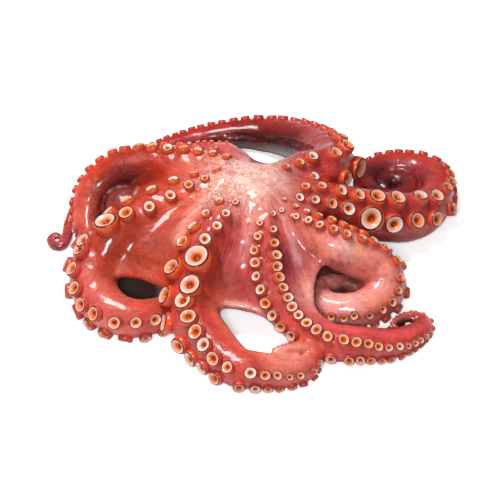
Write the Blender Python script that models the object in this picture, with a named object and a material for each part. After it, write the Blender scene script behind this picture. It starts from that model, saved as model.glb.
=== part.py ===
"""A whole raw octopus, laid on its mantle with the mouth side up and eight arms curling round it.

Blender 4.5, in metres, +Z up. +X is to the right and -Y is the front, where the widest arms lie.
The arms, the skin between them, the body under them and the larger suckers are fused into one
solid, the node "octopus". The arms' routes are measured from a spot on the floor just in front
of the mouth, and at the end the solid is moved so that its box stands centred on the origin.
"""
from math import cos, pi, radians, sin

import bmesh
import bpy
import numpy as np
from mathutils import Matrix, Vector

MM = 0.001

# The arms, in the order in which they leave the mouth. In mm: each route point is x, y, z, half
# the arm's thickness, and how many degrees its sucker side leans to the left of the way it runs.
# "suckers" gives distance along the arm, spacing in a row and diameter, and "spread" the distance
# and the angle from the middle of the sucker side to each row. "first_row" is the row, 1 or -1,
# that starts nearer the mouth. "web" is how far the skin to the next arm reaches along this arm
# and along the next, and how far its free edge bows in towards the mouth. "large" is row,
# distance and diameter of an enlarged sucker, and the way that it faces.
ARMS = {
    "front_left": {
        "route": [(-3, -19, 62, 13.5, 0), (-18, -35, 58, 15, 2), (-30, -52, 52, 15.5, -3),
                  (-38, -66, 43, 16, -14), (-40, -94, 24, 18, -47), (-36, -110, 18, 17.5, -64),
                  (-13, -140, 13, 14.5, -77), (3, -146, 12, 13.5, -80), (34, -143, 9, 10.5, -96),
                  (43, -134, 8, 8, -94), (46, -129, 12, 6.5, -94), (38, -128, 16, 5, -94),
                  (27, -131, 18, 4, -94), (17, -133, 18, 2.5, -94)],
        "suckers": [(14, 13, 6.3), (44, 11, 9), (60, 18, 12), (78, 18, 15.5), (104, 13, 14),
                    (150, 10, 10.3), (190, 7.5, 6.7), (215, 5, 4.6), (246, 2.6, 2.1)],
        "first_row": 1,
        "spread": [(14, 20), (50, 25), (80, 33), (125, 34), (150, 28), (246, 28)],
        "web": (98, 108, 0.10),
        "large": (1, 67, 19.6, (-0.18, -0.23, 0.95)),
    },
    "front_middle": {
        "route": [(8, -20, 62, 12, 0), (12, -37, 58, 12.5, -1), (15, -75, 33, 13.5, -19),
                  (30, -98, 18, 13.5, -42), (56, -116, 12, 13.5, -64), (71, -119, 12, 13.5, -68),
                  (102, -116, 9, 11, -88), (125, -101, 7, 8, -100), (128, -90, 6, 6, -100),
                  (120, -87, 8, 4.5, -100), (111, -90, 8, 3.5, -100), (106, -95, 8, 2.5, -100),
                  (109, -100, 7, 2, -100)],
        "suckers": [(18, 11, 5.2), (45, 9, 8.6), (130, 9, 9.2), (160, 7, 7.5), (190, 5.5, 5.2),
                    (238, 2.6, 2.1)],
        "first_row": 1,
        "spread": [(18, 16), (50, 32), (115, 37), (150, 32), (190, 22), (238, 25)],
        "web": (128, 60, 0.17),
    },
    "front_right": {
        "route": [(14, -21, 62, 11.5, -15), (30, -34, 58, 12, -12), (61, -50, 47, 15.5, 14),
                  (77, -53, 40, 16, 26), (93, -54, 30, 16, 40), (101, -61, 20, 16.5, 56),
                  (96, -73, 14, 15, 88), (84, -82, 13, 13, 98), (70, -83, 12, 12, 102),
                  (58, -79, 12, 11.5, 108), (52, -69, 13, 10, 108), (55, -60, 15, 7.5, 100),
                  (64, -56, 15, 5.5, 95), (74, -56, 14, 5, 90), (82, -59, 12, 4.5, 90),
                  (84, -66, 9, 4, 90), (78, -70, 7, 3, 90), (72, -67, 6, 2.5, 90)],
        "suckers": [(12, 9, 4), (45, 9.5, 7.5), (90, 9.5, 8), (120, 7.5, 7.5), (165, 6, 6),
                    (200, 4.5, 3.9), (236, 2.2, 1.8)],
        "first_row": 1,
        "spread": [(12, 15), (40, 17), (75, 27), (236, 26)],
        "web": (46, 50, 0.20),
    },
    "right": {
        "route": [(14, -9, 60, 10.5, -40), (53, -1, 51, 15, -40), (91, 7, 32, 19, -46),
                  (111, 11, 25, 20, -44), (130, 22, 17, 19.5, -42), (146, 37, 15, 16.5, -57),
                  (155, 60, 13, 14, -73), (154, 82, 12, 13, -78), (142, 96, 11, 12.5, -75),
                  (118, 99, 11, 11, -75), (104, 91, 10, 11, -85), (97, 76, 9, 10.5, -90),
                  (103, 59, 9, 10, -90), (118, 53, 9, 10, -90), (130, 61, 9, 10, -90),
                  (132, 74, 9, 9, -90), (122, 82, 9, 8, -90), (112, 76, 9, 6, -90),
                  (114, 68, 9, 4, -90)],
        "suckers": [(19, 12, 7.5), (50, 13.5, 9.8), (70, 18, 13.2), (90, 23, 14.4), (130, 21, 13.8),
                    (150, 17, 11.5), (175, 11, 9.8), (240, 7, 6.9), (310, 6, 5.2), (390, 3, 2.1)],
        "first_row": -1,
        "spread": [(19, 18), (45, 18), (85, 25), (150, 26), (390, 30)],
        "web": (72, 66, 0.20),
        "large": (-1, 80, 19.6, (-0.1, -0.74, 0.66)),
    },
    "back": {
        "route": [(6, 3, 62, 10, -44), (39, 28, 57, 14.5, -50), (56, 37, 53, 17, -58),
                  (66, 53, 46, 17.5, -64), (62, 78, 39, 16, -70), (52, 103, 29, 16.5, -74),
                  (36, 125, 20, 16.5, -73), (16, 141, 13, 15, -70), (-4, 145, 12, 13, -68),
                  (-41, 143, 9, 10, -71), (-79, 128, 7, 7.5, -74), (-120, 96, 5, 6, -80),
                  (-137, 71, 5, 5.5, -84), (-146, 31, 4, 4.5, -90), (-147, 14, 4, 4, -92),
                  (-149, 2, 4, 4, -92), (-156, 1, 3, 3.5, -92), (-161, 9, 3, 3, -92),
                  (-157, 16, 3, 2.5, -92), (-152, 11, 3, 2, -92)],
        "suckers": [(15, 12, 6.3), (50, 15.5, 9.8), (85, 19, 12.6), (115, 15, 10.9), (180, 11, 9.2),
                    (230, 9.3, 7.5), (280, 7, 5.5), (400, 4.4, 3.4), (474, 2.2, 1.7)],
        "first_row": -1,
        "spread": [(15, 19), (60, 32), (474, 30)],
        "web": (46, 58, 0.20),
        "large": (-1, 84, 16.8, (0.86, -0.5, 0.1)),
    },
    "hidden": {
        "route": [(2, 11, 58, 10, -10), (-15, 55, 46, 13.5, 0), (-28, 74, 37, 13, 10),
                  (-60, 98, 18, 12.5, 45), (-77, 103, 10, 11, 70), (-91, 93, 8, 9.5, 88),
                  (-98, 79, 6, 7, 95), (-91, 68, 5, 5, 95), (-79, 72, 4, 3.5, 95)],
        "suckers": [(15, 9, 3.5), (60, 9, 5), (120, 9, 6.5), (198, 3.5, 2.3)],
        "first_row": 1,
        "spread": [(15, 20), (60, 30), (198, 28)],
        "web": (60, 60, 0.22),
    },
    "left_upper": {
        "route": [(-2, 8, 62, 11, -38), (-17, 16, 61, 13, -32), (-35, 28, 58, 15, -25),
                  (-75, 41, 52, 15.5, -30), (-108, 44, 44, 15, -62), (-127, 32, 31, 13.5, -90),
                  (-131, 16, 16, 11.5, -100), (-126, 7, 9, 9.5, -100), (-118, -4, 7, 7.5, -100),
                  (-108, -8, 5, 5.5, -100), (-97, -4, 4, 4, -100)],
        "suckers": [(20, 11, 5.8), (50, 13, 8.6), (85, 12, 9.8), (110, 8.5, 8.6), (150, 6.5, 6.9),
                    (212, 3, 2.5)],
        "first_row": 1,
        "spread": [(20, 20), (60, 25), (110, 25), (212, 24)],
        "web": (80, 85, 0.22),
    },
    "left_lower": {
        "route": [(-3, -5, 62, 11.5, 8), (-20, 2, 59, 13, 6), (-38, 2, 55, 14.5, 0),
                  (-72, -15, 49, 17, 1), (-103, -36, 36, 18.5, -26), (-114, -44, 28, 19, -40),
                  (-118, -58, 21, 18.5, -62), (-114, -72, 15, 17, -86),
                  (-102, -87, 14, 15.5, -96), (-88, -93, 13, 14.5, -91),
                  (-73, -91, 12, 13.5, -84), (-60, -82, 11, 12, -85), (-51, -65, 9, 10, -88),
                  (-55, -30, 5, 6, -92)],
        "suckers": [(21, 17, 6.3), (50, 17.5, 8.6), (90, 15, 10.9), (124, 12, 12.1), (180, 11, 10.9),
                    (220, 9.5, 8.6), (287, 4.5, 3.4)],
        "first_row": -1,
        "spread": [(21, 14), (60, 23), (124, 24), (190, 29), (287, 26)],
        "web": (152, 90, 0.08),
        "large": (1, 112, 17.9, (-0.31, -0.13, 0.93)),
    },
}

# The body under the arms, in mm: centre, half sizes, and its turn about the vertical in degrees.
CROWN = {"centre": (4, -3, 48), "half_size": (40, 37, 27), "turn": 0}
HEAD = {"centre": (-4, 4, 31), "half_size": (38, 34, 33), "turn": 0}
MANTLE = {"centre": (-46, 22, 29), "half_size": (54, 36, 31), "turn": -8}
MANTLE_END = {"centre": (-99, 24, 26), "half_size": (19, 17, 16.5), "turn": 0}

# The skin between neighbouring arms.
WEB_LIFT = 0.30          # above an arm's axis, as a share of its half thickness
WEB_INNER = 14           # thickness at the mouth, mm
WEB_EDGE = 4.5           # thickness at the free edge, mm
WEB_STEPS = (6, 6)       # along the arms, across

# Facets of the fused solid.
BALL_SEGMENTS = (22, 13) # round the vertical, from top to bottom
TUBE_BEVEL = 2           # an eight-sided tube
POINTS_PER_SPAN = 12     # of the smooth curve between two route points
RING_PITCH = 1.05        # distance between an arm's rings, as a share of its half thickness
RING_PITCH_LEAST = 4.5   # mm
FACET_SWELL = 1.035      # makes the eight-sided tube as full as the round arm
SUCKER_SIDES = 6
LARGE_SUCKER = 9.2       # mm across: each one from this size on is fused to the solid
SMALL_SUCKER = 7.0       # mm across: from this size on, one in SMALL_EVERY is
SMALL_EVERY = 3
SUCKER_RISE = 0.25       # how far its stem leans up, as a share of its lean outwards
SUCKER_STEM = 0.80       # stem's diameter as a share of the rim's
SUCKER_HEIGHT = 0.41     # of the rim above the skin, as a share of its diameter
SUCKER_ROOT = 0.45       # of the stem below the skin, as a share of its diameter
SUCKER_DISH = 0.22       # depth of the cup, as a share of its diameter
LEAST_SPACING = 2.4      # mm
WELD = 0.01              # mm


def smooth_route(route):
    """Catmull-Rom curve through the route points, each of them a row of numbers."""
    points = np.array(route, float)
    ends = 2 * points[[0, -1]] - points[[1, -2]]
    points = np.vstack([ends[0], points, ends[1]])
    share = np.arange(POINTS_PER_SPAN)[:, None] / POINTS_PER_SPAN
    spans = []
    for before, start, end, after in zip(points, points[1:], points[2:], points[3:]):
        spans.append(0.5 * (2 * start + (end - before) * share
                            + (2 * before - 5 * start + 4 * end - after) * share ** 2
                            + (3 * start - before - 3 * end + after) * share ** 3))
    return np.vstack(spans + [points[-2:-1]])


def arm_line(arm):
    """Distance along the arm, then axis point, half thickness and turn at each mm of it."""
    curve = smooth_route(arm["route"])
    steps = np.linalg.norm(np.diff(curve[:, :3], axis=0), axis=1)
    along = np.concatenate([[0], np.cumsum(steps)])
    distance = np.arange(0, along[-1], 1.0)
    values = np.column_stack([np.interp(distance, along, column) for column in curve.T])
    return distance, values[:, :3], values[:, 3], values[:, 4]


def arm_frame(axis, turn):
    """Unit vectors at each axis point: along the arm, to its sucker side and across that side."""
    along = np.gradient(axis, axis=0)
    along /= np.linalg.norm(along, axis=1)[:, None]
    left = np.cross((0, 0, 1), along)
    left /= np.linalg.norm(left, axis=1)[:, None]
    upper = np.cross(along, left)
    angle = np.radians(turn)[:, None]
    oral = upper * np.cos(angle) + left * np.sin(angle)
    return along, oral, np.cross(oral, along)


def add_mesh(name, bm, collection):
    """Puts a bmesh, in mm, into the collection as a triangulated object in metres."""
    bmesh.ops.recalc_face_normals(bm, faces=bm.faces)
    bmesh.ops.triangulate(bm, faces=bm.faces)
    bmesh.ops.scale(bm, vec=(MM, MM, MM), verts=bm.verts)
    mesh = bpy.data.meshes.new(name)
    bm.to_mesh(mesh)
    bm.free()
    collection.objects.link(bpy.data.objects.new(name, mesh))


def add_arm(name, arm, collection):
    """An arm as a round tube on its route, swept by a bevelled curve that takes its thickness."""
    distance, axis, half, _ = arm_line(arm)
    picks = [0]
    while distance[picks[-1]] < distance[-1] - RING_PITCH_LEAST:
        here = picks[-1]
        ahead = max(RING_PITCH * half[here], RING_PITCH_LEAST)
        picks.append(min(int(round(here + ahead)), len(distance) - 1))
    curve = bpy.data.curves.new(name, "CURVE")
    curve.dimensions = "3D"
    curve.twist_mode = "MINIMUM"
    curve.bevel_depth = FACET_SWELL * MM
    curve.bevel_resolution = TUBE_BEVEL
    curve.use_fill_caps = True
    spline = curve.splines.new("POLY")
    spline.points.add(len(picks) - 1)
    for point, pick in zip(spline.points, picks):
        point.co = (*(axis[pick] * MM), 1)
        point.radius = half[pick]
    tube = bpy.data.objects.new(name, curve)
    bpy.context.scene.collection.objects.link(tube)
    seen = tube.evaluated_get(bpy.context.evaluated_depsgraph_get())
    bm = bmesh.new()
    bm.from_mesh(seen.to_mesh())
    bmesh.ops.scale(bm, vec=(1 / MM, 1 / MM, 1 / MM), verts=bm.verts)
    bmesh.ops.remove_doubles(bm, verts=bm.verts, dist=WELD)
    add_mesh(name, bm, collection)
    bpy.data.objects.remove(tube)


def add_ball(name, shape, collection):
    """A round piece of the body: a sphere stretched to its half sizes and turned."""
    bm = bmesh.new()
    around, down = BALL_SEGMENTS
    bmesh.ops.create_uvsphere(bm, u_segments=around, v_segments=down, radius=1)
    place = (Matrix.Translation(shape["centre"]) @ Matrix.Rotation(radians(shape["turn"]), 4, "Z")
             @ Matrix.Diagonal((*shape["half_size"], 1)))
    bmesh.ops.transform(bm, matrix=place, verts=bm.verts)
    add_mesh(name, bm, collection)


def web_surface(arm, following, steps):
    """Middle surface and thickness of the skin between two arms, on a grid.

    A point is at share a of the reach along both arms and at share b of the way across. It is
    (1 - b) X1(a (1 - k sin(pi b)) reach1) + b X2(a (1 - k sin(pi b)) reach2), where X is the
    arm's axis raised towards its sucker side, and k is how far the free edge bows in.
    """
    a, b = np.meshgrid(np.linspace(0, 1, steps[0] + 1), np.linspace(0, 1, steps[1] + 1),
                       indexing="ij")
    reach_here, reach_there, bow = arm["web"]
    inward = a * (1 - bow * np.sin(pi * b))
    surface = 0
    for piece, reach, share in ((arm, reach_here, 1 - b), (following, reach_there, b)):
        distance, axis, half, turn = arm_line(piece)
        raised = axis + arm_frame(axis, turn)[1] * (WEB_LIFT * half)[:, None]
        at = np.stack([np.interp(inward * reach, distance, column) for column in raised.T], -1)
        surface = surface + at * share[..., None]
    return surface, WEB_INNER + (WEB_EDGE - WEB_INNER) * a


def add_web(name, arm, following, collection):
    """The skin between two arms, as a closed sheet: an upper and a lower face and a rim."""
    surface, thickness = web_surface(arm, following, WEB_STEPS)
    rows, columns = surface.shape[:2]
    across = np.gradient(surface, axis=1)
    normal = np.cross(np.gradient(surface, axis=0), across)
    normal /= np.linalg.norm(normal, axis=2)[..., None]
    normal *= np.sign(normal[..., 2:])
    half = normal * (thickness / 2)[..., None]
    bm = bmesh.new()
    upper = [bm.verts.new(point) for point in (surface + half).reshape(-1, 3)]
    lower = [bm.verts.new(point) for point in (surface - half).reshape(-1, 3)]
    for row in range(rows - 1):
        for column in range(columns - 1):
            corner = row * columns + column
            loop = (corner, corner + 1, corner + columns + 1, corner + columns)
            bm.faces.new([upper[i] for i in loop])
            bm.faces.new([lower[i] for i in reversed(loop)])
    top = range(columns)
    right = range(columns - 1, rows * columns, columns)
    bottom = range(rows * columns - 1, (rows - 1) * columns - 1, -1)
    left = range((rows - 1) * columns, -1, -columns)
    for side in (top, right, bottom, left):
        for i, j in zip(side, side[1:]):
            bm.faces.new((upper[j], upper[i], lower[i], lower[j]))
    add_mesh(name, bm, collection)


def sucker_row(arm, row):
    """Distance along the arm and diameter of each sucker in one row, and the way it faces if that
    is stated. The row is 1 or -1.

    Each step is the spacing at that distance, and the rows are half a step apart.
    """
    where, spacing, diameter = np.array(arm["suckers"], float).T
    tip = arm_line(arm)[0][-1]
    at = where[0] + (0 if row == arm["first_row"] else spacing[0] / 2)
    suckers = []
    while at < tip - LEAST_SPACING:
        suckers.append([at, np.interp(at, where, diameter), None])
        at += max(np.interp(at, where, spacing), LEAST_SPACING)
    if "large" in arm and arm["large"][0] == row:
        nearest = min(suckers, key=lambda sucker: abs(sucker[0] - arm["large"][1]))
        nearest[:] = arm["large"][1:]
    return suckers


def add_suckers(name, arm, collection):
    """The arm's larger suckers: dished cups on short stems that stand out and a little upwards.

    The largest all come, and of the middling ones one in SMALL_EVERY, spread evenly by number.
    """
    _, axis, half, turn = arm_line(arm)
    _, oral, across = arm_frame(axis, turn)
    spread_at, spread = np.array(arm["spread"], float).T
    for row in (1, -1):
        for number, (at, diameter, facing) in enumerate(sucker_row(arm, row)):
            if diameter < SMALL_SUCKER or (diameter < LARGE_SUCKER and number % SMALL_EVERY):
                continue
            here = int(round(at))
            angle = radians(row * np.interp(at, spread_at, spread))
            outward = Vector(oral[here] * cos(angle) + across[here] * sin(angle))
            depth = (SUCKER_HEIGHT + SUCKER_ROOT) * diameter
            middle = half[here] + (SUCKER_HEIGHT - SUCKER_ROOT) / 2 * diameter
            bm = bmesh.new()
            bmesh.ops.create_cone(bm, cap_ends=True, segments=SUCKER_SIDES, depth=depth,
                                  radius1=SUCKER_STEM * diameter / 2, radius2=diameter / 2)
            rim = max(bm.faces, key=lambda face: face.calc_center_median().z)
            centre = bmesh.ops.poke(bm, faces=[rim])["verts"]
            bmesh.ops.translate(bm, vec=(0, 0, -SUCKER_DISH * diameter), verts=centre)
            stem = Vector(facing) if facing else outward + Vector((0, 0, SUCKER_RISE))
            upright = stem.to_track_quat("Z", "Y").to_matrix().to_4x4()
            place = Matrix.Translation(Vector(axis[here]) + outward * middle) @ upright
            bmesh.ops.transform(bm, matrix=place, verts=bm.verts)
            add_mesh(f"{name}_sucker_{row}_{number}", bm, collection)


def largest_shell(bm):
    """Removes every shell but the one with most faces: sealed hollows and loose scraps go."""
    left = set(bm.faces)
    shells = []
    while left:
        shell = set()
        front = [left.pop()]
        while front:
            face = front.pop()
            shell.add(face)
            for edge in face.edges:
                for other in edge.link_faces:
                    if other in left:
                        left.remove(other)
                        front.append(other)
        shells.append(shell)
    shells.sort(key=len)
    for shell in shells[:-1]:
        bmesh.ops.delete(bm, geom=list(shell), context="FACES")


def fuse(collection):
    """One solid from the collection's pieces, cut flat at the floor and centred on the origin."""
    joined = bpy.data.objects.new("octopus", bpy.data.meshes.new("octopus"))
    bpy.context.scene.collection.objects.link(joined)
    union = joined.modifiers.new("fuse the pieces", "BOOLEAN")
    union.operation = "UNION"
    union.operand_type = "COLLECTION"
    union.collection = collection
    union.solver = "EXACT"
    seen = joined.evaluated_get(bpy.context.evaluated_depsgraph_get())
    solid = bpy.data.meshes.new_from_object(seen)
    joined.modifiers.clear()
    for piece in list(collection.objects):
        bpy.data.objects.remove(piece)

    bm = bmesh.new()
    bm.from_mesh(solid)
    bmesh.ops.bisect_plane(bm, geom=bm.verts[:] + bm.edges[:] + bm.faces[:], dist=WELD * MM,
                           plane_co=(0, 0, 0), plane_no=(0, 0, 1), clear_inner=True)
    for vert in bm.verts:
        vert.co.z = max(vert.co.z, 0)
    bmesh.ops.holes_fill(bm, edges=[edge for edge in bm.edges if edge.is_boundary])
    bmesh.ops.remove_doubles(bm, verts=bm.verts, dist=WELD * MM)
    bmesh.ops.dissolve_degenerate(bm, edges=bm.edges, dist=WELD * MM)
    bmesh.ops.triangulate(bm, faces=bm.faces)
    largest_shell(bm)
    low = np.min([vert.co for vert in bm.verts], axis=0)
    high = np.max([vert.co for vert in bm.verts], axis=0)
    middle = (low + high) / 2
    bmesh.ops.translate(bm, vec=(-middle[0], -middle[1], -low[2]), verts=bm.verts)
    bm.to_mesh(joined.data)
    bm.free()
    print("octopus:", len(joined.data.polygons), "triangles, centre", middle / MM,
          "size", (high - low) / MM)
    return joined


def raw_skin():
    """Wet coral red skin."""
    material = bpy.data.materials.new("raw_skin")
    material.use_nodes = True
    shader = material.node_tree.nodes["Principled BSDF"]
    shader.inputs["Base Color"].default_value = (0.52, 0.13, 0.085, 1)
    shader.inputs["Roughness"].default_value = 0.25
    shader.inputs["Metallic"].default_value = 0
    return material


for old in list(bpy.data.objects):
    bpy.data.objects.remove(old)

pieces = bpy.data.collections.new("pieces of the octopus")
bpy.context.scene.collection.children.link(pieces)
for ball_name, ball in (("crown", CROWN), ("head", HEAD), ("mantle", MANTLE),
                        ("mantle_end", MANTLE_END)):
    add_ball(ball_name, ball, pieces)
names = list(ARMS)
for arm_name, next_name in zip(names, names[1:] + names[:1]):
    add_arm(arm_name, ARMS[arm_name], pieces)
    add_web(f"{arm_name}_web", ARMS[arm_name], ARMS[next_name], pieces)
    add_suckers(arm_name, ARMS[arm_name], pieces)
octopus = fuse(pieces)
bpy.data.collections.remove(pieces)
octopus.data.materials.append(raw_skin())
octopus.data.shade_flat()
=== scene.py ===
"""A whole raw octopus, lying on its body with the mouth side up.

Eight arms curl round the crown in rings. One wet skin runs over the crown, the arms and the webs
between them, and two rows of suckers stand on each arm. Lengths are worked out in mm and go into
the meshes in metres, +Z up, with the front at -Y.
"""
from math import cos, pi, radians, sin

import bpy
import numpy as np
import openvdb
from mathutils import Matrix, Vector
from mathutils.bvhtree import BVHTree


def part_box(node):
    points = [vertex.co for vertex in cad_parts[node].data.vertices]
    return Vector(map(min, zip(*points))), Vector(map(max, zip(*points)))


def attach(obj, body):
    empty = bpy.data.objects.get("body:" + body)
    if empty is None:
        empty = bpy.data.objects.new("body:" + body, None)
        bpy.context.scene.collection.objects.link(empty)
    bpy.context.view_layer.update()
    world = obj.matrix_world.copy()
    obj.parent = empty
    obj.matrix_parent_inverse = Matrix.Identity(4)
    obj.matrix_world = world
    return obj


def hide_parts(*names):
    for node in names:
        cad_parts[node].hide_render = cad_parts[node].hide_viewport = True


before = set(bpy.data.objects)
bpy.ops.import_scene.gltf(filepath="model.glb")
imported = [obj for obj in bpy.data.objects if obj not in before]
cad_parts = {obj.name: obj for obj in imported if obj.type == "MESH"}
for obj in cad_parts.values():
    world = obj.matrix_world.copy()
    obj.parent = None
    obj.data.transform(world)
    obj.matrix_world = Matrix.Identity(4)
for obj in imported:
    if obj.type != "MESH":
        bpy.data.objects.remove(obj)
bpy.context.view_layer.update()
MM = 0.001


# Camera
# It looks down along +Y from a metre away, at the spot on the floor under the crown from which the
# arms' routes are measured.
ROUTE_ORIGIN = np.array((-4.861, 0.684, 0.0))
LOOK_DOWN = 40  # degrees


def add_object(name, data):
    """A new object at the origin, in the scene."""
    made = bpy.data.objects.new(name, data)
    bpy.context.scene.collection.objects.link(made)
    return made


camera = add_object("camera", bpy.data.cameras.new("camera"))
camera.data.lens = 90
camera.data.sensor_width = 36
away = Vector((0, -cos(radians(LOOK_DOWN)), sin(radians(LOOK_DOWN))))
camera.location = Vector(ROUTE_ORIGIN * MM) + away
camera.rotation_euler = (radians(90 - LOOK_DOWN), 0, 0)
bpy.context.scene.camera = camera


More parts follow.
